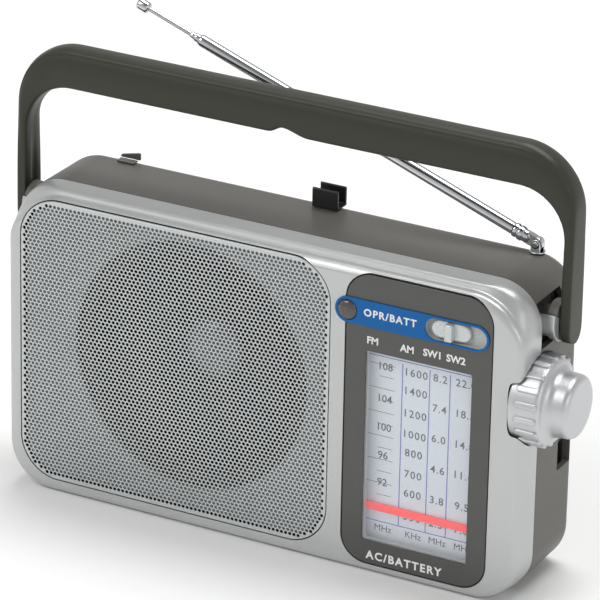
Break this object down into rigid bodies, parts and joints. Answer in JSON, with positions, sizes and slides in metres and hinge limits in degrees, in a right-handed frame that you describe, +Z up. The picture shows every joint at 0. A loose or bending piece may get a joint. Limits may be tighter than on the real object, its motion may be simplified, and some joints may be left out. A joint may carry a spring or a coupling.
{
  "type": "shortwave receiver",
  "caption": "Portable multi-band receiver: grille over a round speaker, tall tuning dial, side knob, sliding band switch, swing-up carry handle and telescopic antenna.",
  "frame": {"origin": "centre of the flat underside of the cabinet", "axes": "+X towards the tuning knob, -Y towards the listener, +Z up"},
  "size_m": [0.256, 0.053, 0.2019],
  "materials": {
    "silver_plastic": "silver paint, satin",
    "knob_silver": "bright silver plating",
    "dark_plastic": "fine satin texture",
    "handle_plastic": "satin",
    "panel_plastic": "gloss",
    "grille_steel": "silver paint on perforated sheet",
    "clear_lens": "clear polished",
    "clear_plastic": "milky clear",
    "scale_plate": "printed matte",
    "pointer_red": "gloss",
    "strip_blue": "printed satin",
    "lamp_smoke": "smoked translucent",
    "lamp_red": "translucent",
    "black_plastic": "satin",
    "white_plastic": "satin",
    "plated_steel": "zinc plated",
    "antenna_chrome": "mirror plated",
    "ferrite": "ground matte",
    "cone_paper": "pressed paper",
    "brass": "turned",
    "copper_wire": "enamelled",
    "board_laminate": "phenolic paper laminate",
    "cord_textile": "braided"
  },
  "bodies": {
    "cabinet": {"front_cabinet": "silver_plastic", "rear_cabinet": "dark_plastic", "speaker_grille": "grille_steel", "dial_bezel": "panel_plastic", "dial_lens": "clear_lens", "dial_scale": "scale_plate", "accent_strip": "strip_blue", "indicator_lens": "lamp_smoke", "indicator_led": "lamp_red", "band_switch": "white_plastic", "speaker_basket": "plated_steel", "speaker_magnet": "ferrite", "speaker_cone": "cone_paper", "speaker_dust_cap": "cone_paper", "shaft_bushing": "brass", "tuning_capacitor": "clear_plastic", "cord_pulley": "white_plastic", "dial_cord": "cord_textile", "volume_pot": "plated_steel", "main_board": "board_laminate", "if_can_1": "plated_steel", "if_can_2": "plated_steel", "if_can_3": "plated_steel", "electrolytic_large": "black_plastic", "electrolytic_small": "black_plastic", "audio_chip": "black_plastic", "ferrite_rod": "ferrite", "antenna_coil": "copper_wire", "rod_holder": "white_plastic", "power_transformer": "plated_steel", "ac_inlet": "black_plastic", "earphone_jack": "black_plastic", "battery_tray": "dark_plastic", "battery_contact": "plated_steel", "battery_spring": "plated_steel", "cabinet_screw_1": "plated_steel", "cabinet_screw_2": "plated_steel", "cabinet_screw_3": "plated_steel", "cabinet_screw_4": "plated_steel", "antenna_clip": "black_plastic", "antenna_rest": "dark_plastic"},
    "pointer": {"dial_pointer": "pointer_red"},
    "slider": {"band_slider": "silver_plastic"},
    "tuning": {"tuning_knob": "knob_silver", "tuning_shaft": "plated_steel"},
    "drum": {"tuning_drum": "white_plastic"},
    "volume": {"volume_wheel": "black_plastic"},
    "door": {"battery_door": "dark_plastic"},
    "antenna_swivel": {"antenna_base": "antenna_chrome", "elbow_pin": "plated_steel"},
    "antenna_arm": {"antenna_knuckle": "antenna_chrome", "antenna_tube_outer": "antenna_chrome"},
    "antenna_middle": {"antenna_tube_middle": "antenna_chrome"},
    "antenna_inner": {"antenna_tube_inner": "antenna_chrome"},
    "antenna_tip": {"antenna_rod": "antenna_chrome"},
    "handle": {"handle": "handle_plastic", "handle_pin_left": "plated_steel", "handle_pin_right": "plated_steel"}
  },
  "joints": [
    {"name": "handle_swing", "type": "hinge", "parent": "cabinet", "child": "handle", "pos_m": [0, 0.0015, 0.1145], "axis": [1, 0, 0], "range_deg": [-4, 95]},
    {"name": "tuning_turn", "type": "hinge", "parent": "cabinet", "child": "tuning", "pos_m": [0.115, -0.01, 0.0845], "axis": [1, 0, 0], "range_deg": [-42, 958]},
    {"name": "pointer_travel", "type": "slide", "parent": "cabinet", "child": "pointer", "axis": [0, 0, 1], "range_m": [-0.003, 0.067]},
    {"name": "drum_turn", "type": "hinge", "parent": "cabinet", "child": "drum", "pos_m": [0.097, 0.001, 0.104], "axis": [1, 0, 0], "range_deg": [-236, 11]},
    {"name": "band_slide", "type": "slide", "parent": "cabinet", "child": "slider", "axis": [1, 0, 0], "range_m": [-0.0016, 0.0072]},
    {"name": "volume_turn", "type": "hinge", "parent": "cabinet", "child": "volume", "pos_m": [0.0985, 0.01475, 0.065], "axis": [0, 1, 0], "range_deg": [0, 290]},
    {"name": "door_open", "type": "hinge", "parent": "cabinet", "child": "door", "pos_m": [0, 0.025, 0.0056], "axis": [-1, 0, 0], "range_deg": [0, 85]},
    {"name": "antenna_turn", "type": "hinge", "parent": "cabinet", "child": "antenna_swivel", "pos_m": [0.098, 0.0195, 0.131], "axis": [0, 0, 1], "range_deg": [-180, 0]},
    {"name": "antenna_raise", "type": "hinge", "parent": "antenna_swivel", "child": "antenna_arm", "pos_m": [0.098, 0.0195, 0.1349], "axis": [0, 1, 0], "range_deg": [-20, 70]},
    {"name": "antenna_extend_1", "type": "slide", "parent": "antenna_arm", "child": "antenna_middle", "axis": [-0.9397, 0, 0.342], "range_m": [0, 0.135]},
    {"name": "antenna_extend_2", "type": "slide", "parent": "antenna_middle", "child": "antenna_inner", "axis": [-0.9397, 0, 0.342], "range_m": [0, 0.132]},
    {"name": "antenna_extend_3", "type": "slide", "parent": "antenna_inner", "child": "antenna_tip", "axis": [-0.9397, 0, 0.342], "range_m": [-0.019, 0.112]}
  ],
  "couplings": [
    {"joint": "pointer_travel", "follows": "tuning_turn", "m_per_rad": 0.004},
    {"joint": "drum_turn", "follows": "tuning_turn", "ratio": -0.2454}
  ]
}
